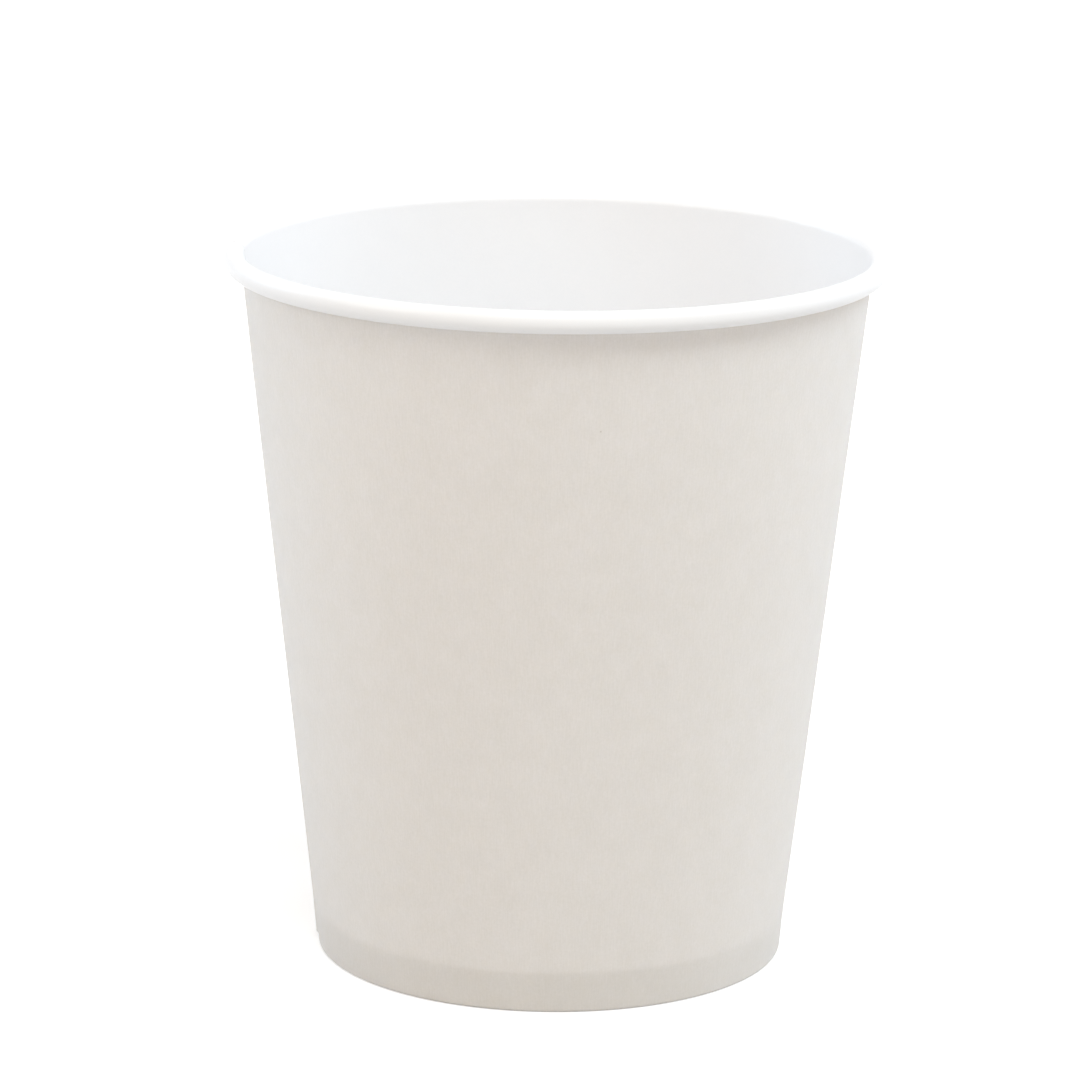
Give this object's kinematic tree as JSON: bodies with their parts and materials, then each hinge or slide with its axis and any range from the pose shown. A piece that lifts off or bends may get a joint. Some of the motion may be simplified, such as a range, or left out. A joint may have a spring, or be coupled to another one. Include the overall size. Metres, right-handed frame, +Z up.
{
  "type": "paper coffee cup",
  "caption": "Single-wall paper cup for hot drinks: a tapered board cone with an outward-rolled rim, a lapped side seam and a recessed bottom.",
  "frame": {"origin": "on the cup's axis, at the floor that the foot stands on", "axes": "+Z up along the cup's axis, -Y towards the viewer of the picture, +X to the viewer's right; the lapped seam is near -X"},
  "size_m": [0.073, 0.073, 0.0793],
  "materials": {
    "wall_board": "matte uncoated board outside, coated satin inside",
    "bottom_board": "coated satin above, matte board below"
  },
  "bodies": {
    "root": {"side_wall": "wall_board", "bottom_disc": "bottom_board"}
  },
  "joints": []
}
